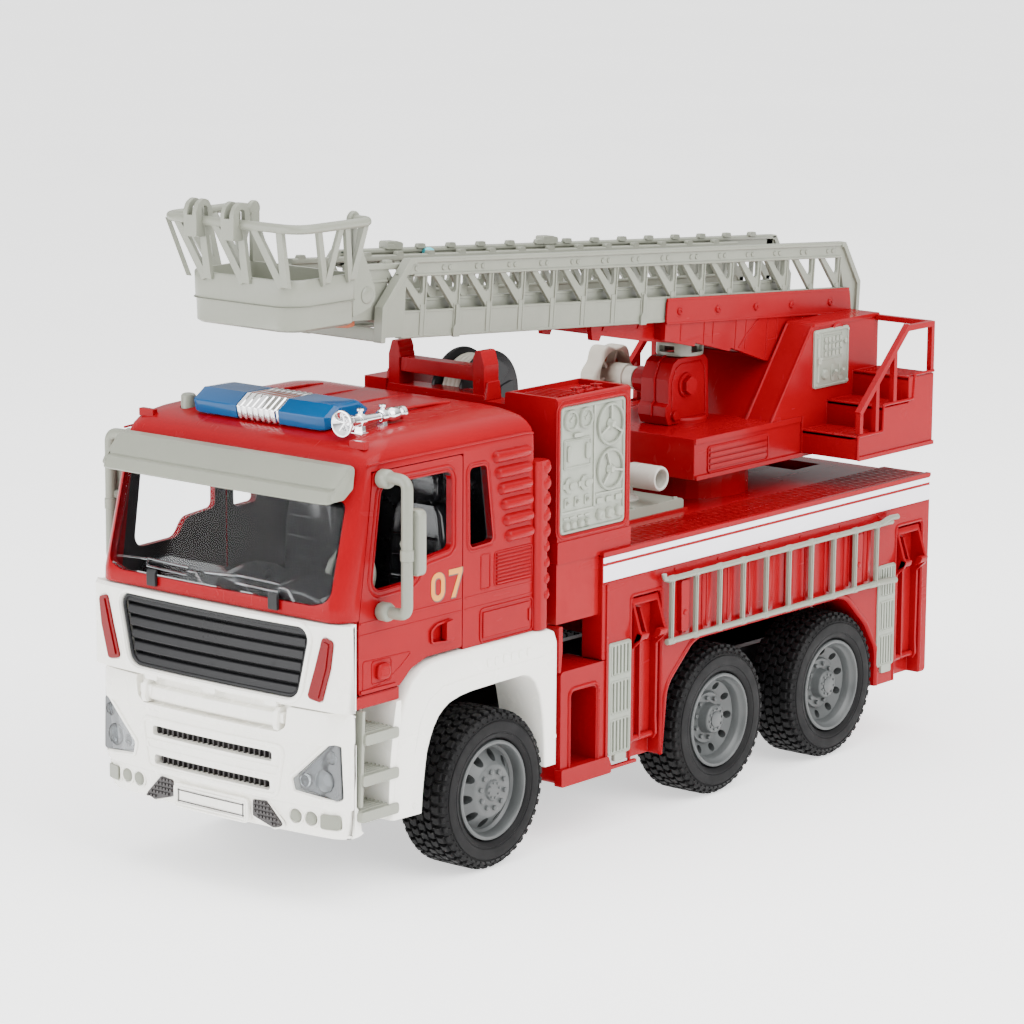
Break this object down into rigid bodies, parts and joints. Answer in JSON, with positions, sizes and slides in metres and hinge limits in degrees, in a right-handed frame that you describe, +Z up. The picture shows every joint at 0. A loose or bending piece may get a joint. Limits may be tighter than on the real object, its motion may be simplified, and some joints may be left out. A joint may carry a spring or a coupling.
{
  "type": "toy fire engine",
  "caption": "Toy turntable-ladder fire engine: tilting extending ladder with levelling rescue bucket on a slewing base, opening cab doors, fold-out outriggers, rolling wheels.",
  "frame": {"origin": "centre of the bounding box on the floor plane under the wheels", "axes": "+Z up, the cab faces -Y, +X is the vehicle's left side"},
  "size_m": [0.1826, 0.4566, 0.293],
  "materials": {
    "red": "high gloss",
    "white": "semi gloss",
    "sage": "satin",
    "rim_grey": "satin",
    "rubber": "matte",
    "black": "semi gloss",
    "steel": "drawn",
    "chrome": "plated",
    "blue": "tinted clear",
    "clear": "clear",
    "cream": "satin"
  },
  "bodies": {
    "chassis": {"chassis_frame": "black", "cab_shell": "red", "front_panel": "white", "grille": "black", "front_bumper": "white", "headlamp_left": "clear", "headlamp_right": "clear", "fender_left": "white", "fender_right": "white", "sun_visor": "sage", "windshield": "clear", "cab_interior": "black", "steering_wheel": "sage", "light_bar_base": "chrome", "light_lens_left": "blue", "light_lens_right": "blue", "air_horn": "chrome", "body_shell": "red", "pump_cabinet": "red", "ladder_rest": "red", "deck_cover": "sage", "water_nozzle": "cream"},
    "front_wheels": {"front_axle": "steel", "rim_front_left": "rim_grey", "rim_front_right": "rim_grey", "tyre_front_left": "rubber", "tyre_front_right": "rubber"},
    "mid_wheels": {"mid_axle": "steel", "rim_mid_left": "rim_grey", "rim_mid_right": "rim_grey", "tyre_mid_left": "rubber", "tyre_mid_right": "rubber"},
    "rear_wheels": {"rear_axle": "steel", "rim_rear_left": "rim_grey", "rim_rear_right": "rim_grey", "tyre_rear_left": "rubber", "tyre_rear_right": "rubber"},
    "door_left": {"door_left": "red", "mirror_left": "sage"},
    "door_right": {"door_right": "red", "mirror_right": "sage"},
    "sound_button": {"sound_button": "sage"},
    "hose_reel": {"hose_reel": "black", "wound_hose": "cream"},
    "outrigger_front_left": {"outrigger_front_left": "red"},
    "outrigger_front_right": {"outrigger_front_right": "red"},
    "outrigger_rear_left": {"outrigger_rear_left": "red"},
    "outrigger_rear_right": {"outrigger_rear_right": "red"},
    "side_ladder_left": {"side_ladder_left": "sage"},
    "side_ladder_right": {"side_ladder_right": "sage"},
    "turntable": {"turntable": "red", "handrail_left": "red", "handrail_right": "red", "gearbox": "red", "lift_collar": "sage"},
    "handwheel": {"handwheel": "sage"},
    "boom": {"boom_cradle": "red", "outer_ladder": "sage"},
    "inner_ladder": {"inner_ladder": "sage"},
    "bucket": {"bucket": "sage"}
  },
  "joints": [
    {"name": "front_axle_spin", "type": "hinge", "parent": "chassis", "child": "front_wheels", "pos_m": [0, -0.12505, 0.03623], "axis": [1, 0, 0], "continuous": true},
    {"name": "mid_axle_spin", "type": "hinge", "parent": "chassis", "child": "mid_wheels", "pos_m": [0, 0.04378, 0.03623], "axis": [1, 0, 0], "continuous": true},
    {"name": "rear_axle_spin", "type": "hinge", "parent": "chassis", "child": "rear_wheels", "pos_m": [0, 0.13681, 0.03623], "axis": [1, 0, 0], "continuous": true},
    {"name": "door_left_hinge", "type": "hinge", "parent": "chassis", "child": "door_left", "pos_m": [0.07182, -0.21116, 0.1365], "axis": [0, 0, -1], "range_deg": [0, 48]},
    {"name": "door_right_hinge", "type": "hinge", "parent": "chassis", "child": "door_right", "pos_m": [-0.07182, -0.21116, 0.1365], "axis": [0, 0, 1], "range_deg": [0, 48]},
    {"name": "sound_button_press", "type": "slide", "parent": "chassis", "child": "sound_button", "axis": [0, 0, -1], "range_m": [0, 0.0012], "stiffness_N_per_m": 200},
    {"name": "hose_reel_spin", "type": "hinge", "parent": "chassis", "child": "hose_reel", "pos_m": [0, -0.04956, 0.1974], "axis": [1, 0, 0], "continuous": true},
    {"name": "outrigger_front_left_fold", "type": "hinge", "parent": "chassis", "child": "outrigger_front_left", "pos_m": [0.07056, -0.01423, 0.03948], "axis": [0, 1, 0], "range_deg": [0, 85]},
    {"name": "outrigger_front_right_fold", "type": "hinge", "parent": "chassis", "child": "outrigger_front_right", "pos_m": [-0.07056, -0.01423, 0.03948], "axis": [0, -1, 0], "range_deg": [0, 85]},
    {"name": "outrigger_rear_left_fold", "type": "hinge", "parent": "chassis", "child": "outrigger_rear_left", "pos_m": [0.07056, 0.20307, 0.03948], "axis": [0, 1, 0], "range_deg": [0, 85]},
    {"name": "outrigger_rear_right_fold", "type": "hinge", "parent": "chassis", "child": "outrigger_rear_right", "pos_m": [-0.07056, 0.20307, 0.03948], "axis": [0, -1, 0], "range_deg": [0, 85]},
    {"name": "side_ladder_left_pull", "type": "slide", "parent": "chassis", "child": "side_ladder_left", "axis": [1, 0, 0], "range_m": [0, 0.02]},
    {"name": "side_ladder_right_pull", "type": "slide", "parent": "chassis", "child": "side_ladder_right", "axis": [-1, 0, 0], "range_m": [0, 0.02]},
    {"name": "turntable_turn", "type": "hinge", "parent": "chassis", "child": "turntable", "pos_m": [0, 0.11214, 0.1449], "axis": [0, 0, 1], "range_deg": [-80, 110]},
    {"name": "boom_lift", "type": "hinge", "parent": "turntable", "child": "boom", "pos_m": [0, 0.18354, 0.20402], "axis": [-1, 0, 0], "range_deg": [0, 60]},
    {"name": "handwheel_turn", "type": "hinge", "parent": "turntable", "child": "handwheel", "pos_m": [-0.0399, 0.10164, 0.18375], "axis": [1, 0, 0], "range_deg": [0, 600]},
    {"name": "ladder_extend", "type": "slide", "parent": "boom", "child": "inner_ladder", "axis": [0, -0.9975, 0.071], "range_m": [0, 0.1575]},
    {"name": "bucket_level", "type": "hinge", "parent": "inner_ladder", "child": "bucket", "pos_m": [0, -0.15876, 0.25725], "axis": [1, 0, 0], "range_deg": [-8, 42]}
  ],
  "couplings": [
    {"joint": "handwheel_turn", "follows": "boom_lift", "ratio": 10}
  ]
}
